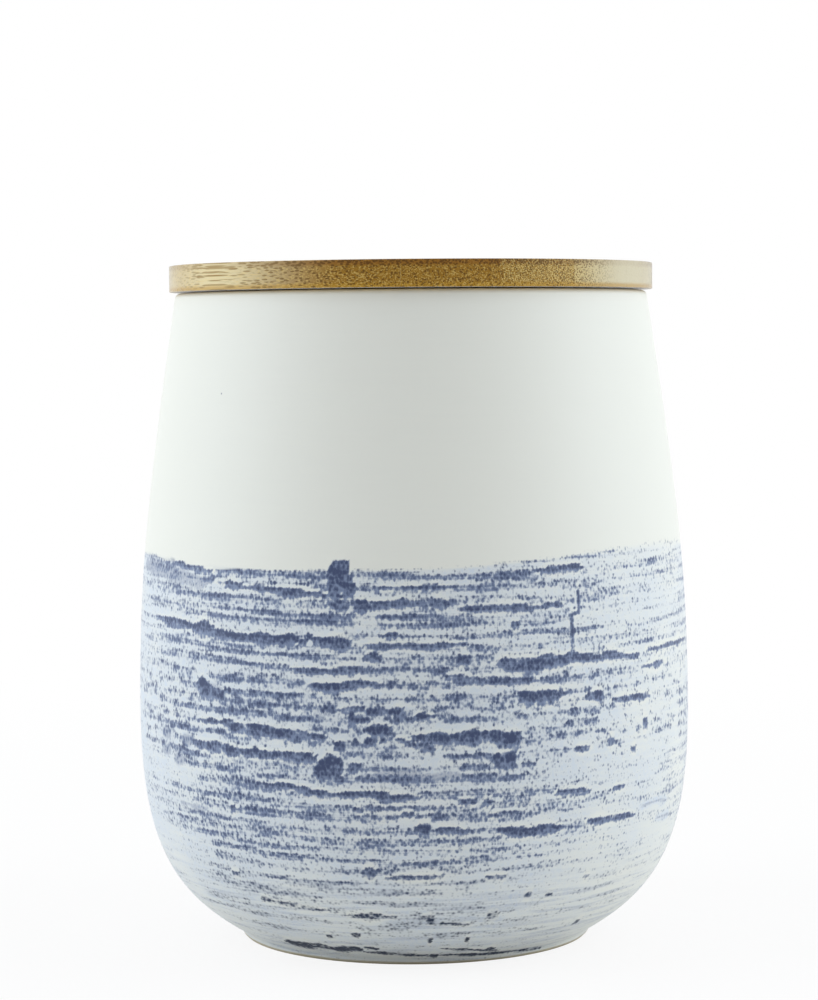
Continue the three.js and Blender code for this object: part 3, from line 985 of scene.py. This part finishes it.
class CANISTER_OT_lid_plug(Operator):
    """Makes the lid's lower ply, the grooved plug"""

    bl_idname = "canister.lid_plug"
    bl_label = "Lid plug"

    tones = ((0.8, 0.7), (0.6, 0.7), (0.9, 0.9), (0.7, 0.6), (0.8, 0.8), (0.7, 0.8))

    def execute(self, context):
        lid = context.scene.canister_lid
        bottom, top = PLUG_LOW.z, PLUG_HIGH.z
        groove_high = top - lid.plug_lip
        groove_low = groove_high - lid.groove_height
        groove_radius = lid.plug_radius - lid.groove_depth
        profile = np.array([
            (0, bottom),
            (lid.plug_radius - PLUG_EDGE, bottom),
            (lid.plug_radius, bottom + PLUG_EDGE),
            (lid.plug_radius, groove_low),
            (groove_radius, groove_low),
            (groove_radius, groove_high),
            (lid.plug_radius, groove_high),
            (lid.plug_radius, top),
            (0, top),
        ])
        disc = turned_mesh("plug_disc", profile, LID_TURNS)
        crosswise = lid.turn + math.pi / 2
        material = bamboo("bamboo_plug", lid, crosswise, bottom, top)
        make_strips("plug_board", "plug_strip", disc, lid.plug_radius, lid.glue_line, crosswise, self.tones,
                    material)
        return {"FINISHED"}


class CANISTER_OT_seal(Operator):
    """Makes the finned silicone seal in the plug's groove"""

    bl_idname = "canister.seal"
    bl_label = "Seal ring"

    def execute(self, context):
        seal = context.scene.canister_seal
        lid = context.scene.canister_lid
        top = PLUG_HIGH.z - lid.plug_lip - seal.fit
        bottom = top - lid.groove_height + 2 * seal.fit
        inner = lid.plug_radius - lid.groove_depth + seal.fit
        outer = lid.plug_radius
        pitch = (top - bottom) / seal.fin_count
        profile = [(inner, bottom), (outer, bottom)]
        for fin in range(seal.fin_count):
            root = bottom + fin * pitch + (pitch - seal.fin_root) / 2
            tip = root + seal.fin_rise + (seal.fin_root - seal.fin_tip) / 2
            profile += [(outer, root), (SEAL_HIGH.x, tip)]
            profile += [(SEAL_HIGH.x, tip + seal.fin_tip), (outer, root + seal.fin_root)]
        profile += [(outer, top), (inner, top)]
        mesh = turned_mesh("finned_seal", np.array(profile), LID_TURNS, looped=True)
        piece = finished_piece("finned_seal", mesh, silicone(seal))
        dress(piece, "lid", "seal_ring")
        return {"FINISHED"}


class CANISTER_OT_stage(Operator):
    """Makes the floor, the light and the camera"""

    bl_idname = "canister.stage"
    bl_label = "Stage"

    # Sizes and places of the floor and the soft boxes, in metres
    floor_side = 8
    box_place = (0.9, -0.12, 0.5)
    box_sides = (0.7, 1.1)
    box_colour = (0.845, 0.925, 1)

    # Share of plain white in the floor near the canister, and where its shadow fades, in metres
    shown_white = 0.87
    shadow_fades = (0.1, 0.5)

    # Between straight before the canister and straight beside it the tent grows brighter
    tent_grows = (-1, 0)

    def execute(self, context):
        stage = context.scene.canister_stage
        context.scene.view_settings.view_transform = "Standard"
        self.make_camera(context, stage)
        self.make_floor(stage)
        self.make_sky(context.scene, stage)
        for side in (-1, 1):
            self.make_soft_box(side, stage)
        return {"FINISHED"}

    def make_camera(self, context, stage):
        camera = bpy.data.objects.new("camera", bpy.data.cameras.new("camera"))
        camera.data.lens = stage.lens
        place = Matrix.Translation((stage.camera_side, -stage.distance, stage.camera_height))
        look = Matrix.Rotation(math.pi / 2 - stage.tilt, 4, "X") @ Matrix.Rotation(-stage.roll, 4, "Z")
        camera.matrix_world = place @ look
        context.collection.objects.link(camera)
        context.scene.camera = camera

    def make_floor(self, stage):
        half = self.floor_side / 2
        corners = [(-half, -half, 0), (half, -half, 0), (half, half, 0), (-half, half, 0)]
        mesh = bpy.data.meshes.new("floor")
        mesh.from_pydata(corners, [], [(0, 1, 2, 3)])
        material, finish = new_finish("pale_floor")
        matte = finish.node("ShaderNodeBsdfDiffuse", None, {"Color": stage.floor})
        white = finish.node("ShaderNodeEmission", None, {"Strength": 1})
        spot = finish.node("ShaderNodeTexCoord", output="Object")
        away = finish.node("ShaderNodeVectorMath", {"operation": "LENGTH"}, {0: spot}, "Value")
        open_share = away.rise(*self.shadow_fades) * (1 - self.shown_white) + self.shown_white
        share = self.seen_rays(finish) * open_share
        mixed = finish.node("ShaderNodeMixShader", None, {0: share, 1: matte, 2: white})
        finish.node("ShaderNodeOutputMaterial", None, {"Surface": mixed})
        mesh.materials.append(material)
        floor = bpy.data.objects.new("floor", mesh)
        bpy.context.collection.objects.link(floor)
        floor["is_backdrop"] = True

    def seen_rays(self, finish):
        """1 for rays that show the background: straight, mirrored or passed through."""
        path = finish.node("ShaderNodeLightPath", output="Is Camera Ray")
        shown = path + path.output("Is Glossy Ray") + path.output("Is Transmission Ray")
        return shown.rise(0, 1)

    def make_sky(self, scene, stage):
        """A white tent, dimmer before the canister than beside and behind it."""
        scene.world = bpy.data.worlds.new("white_tent")
        scene.world.use_nodes = True
        finish = Finish(scene.world.node_tree)
        toward = finish.split(finish.node("ShaderNodeTexCoord", output="Generated"))[1]
        added = stage.back_light - stage.front_light
        level = toward.rise(*self.tent_grows) * added + stage.front_light
        tent = finish.node("ShaderNodeBackground", None, {"Strength": level})
        white = finish.node("ShaderNodeBackground", None, {"Color": (1, 1, 1, 1), "Strength": 1})
        mixed = finish.node("ShaderNodeMixShader", None, {0: self.seen_rays(finish), 1: tent, 2: white})
        finish.node("ShaderNodeOutputWorld", None, {"Surface": mixed})

    def make_soft_box(self, side, stage):
        light = bpy.data.lights.new("soft_box", "AREA")
        light.shape = "RECTANGLE"
        light.size, light.size_y = self.box_sides
        light.energy = stage.side_light
        light.color = self.box_colour
        lamp = bpy.data.objects.new("soft_box", light)
        across, behind, above = self.box_place
        lamp.location = (side * across, behind, above)
        aim = lamp.location.copy()
        aim.z -= BODY_HIGH.z / 2
        lamp.rotation_euler = aim.to_track_quat("Z", "Y").to_euler()
        bpy.context.collection.objects.link(lamp)


SETTINGS = {
    "canister_body": BodyShape,
    "canister_glaze": GlazeLook,
    "canister_lid": LidLook,
    "canister_seal": SealLook,
    "canister_stage": StageLook,
}
OPERATORS = (
    CANISTER_OT_stage,
    CANISTER_OT_body,
    CANISTER_OT_lid_board,
    CANISTER_OT_lid_plug,
    CANISTER_OT_seal,
)


class CANISTER_PT_sidebar(Panel):
    """Lists the canister's pieces and settings"""

    bl_label = "Canister"
    bl_space_type = "VIEW_3D"
    bl_region_type = "UI"
    bl_category = "Canister"

    def draw(self, context):
        for operator in OPERATORS:
            self.layout.operator(operator.bl_idname)
        for name, group in SETTINGS.items():
            box = self.layout.box()
            for setting in group.__annotations__:
                box.prop(getattr(context.scene, name), setting)


CLASSES = (*SETTINGS.values(), *OPERATORS, CANISTER_PT_sidebar)


def register():
    for each in CLASSES:
        bpy.utils.register_class(each)
    for name, group in SETTINGS.items():
        setattr(bpy.types.Scene, name, PointerProperty(type=group))


def unregister():
    for name in SETTINGS:
        delattr(bpy.types.Scene, name)
    for each in reversed(CLASSES):
        bpy.utils.unregister_class(each)


def main():
    register()
    bpy.ops.canister.stage()
    bpy.ops.canister.body()
    bpy.ops.canister.lid_board()
    bpy.ops.canister.lid_plug()
    bpy.ops.canister.seal()
    boxes = {"cad": CAD_BOX, "visual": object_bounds()}
    {name: [list(corner) for corner in box] for name, box in boxes.items()}


if __name__ == "__main__":
    main()
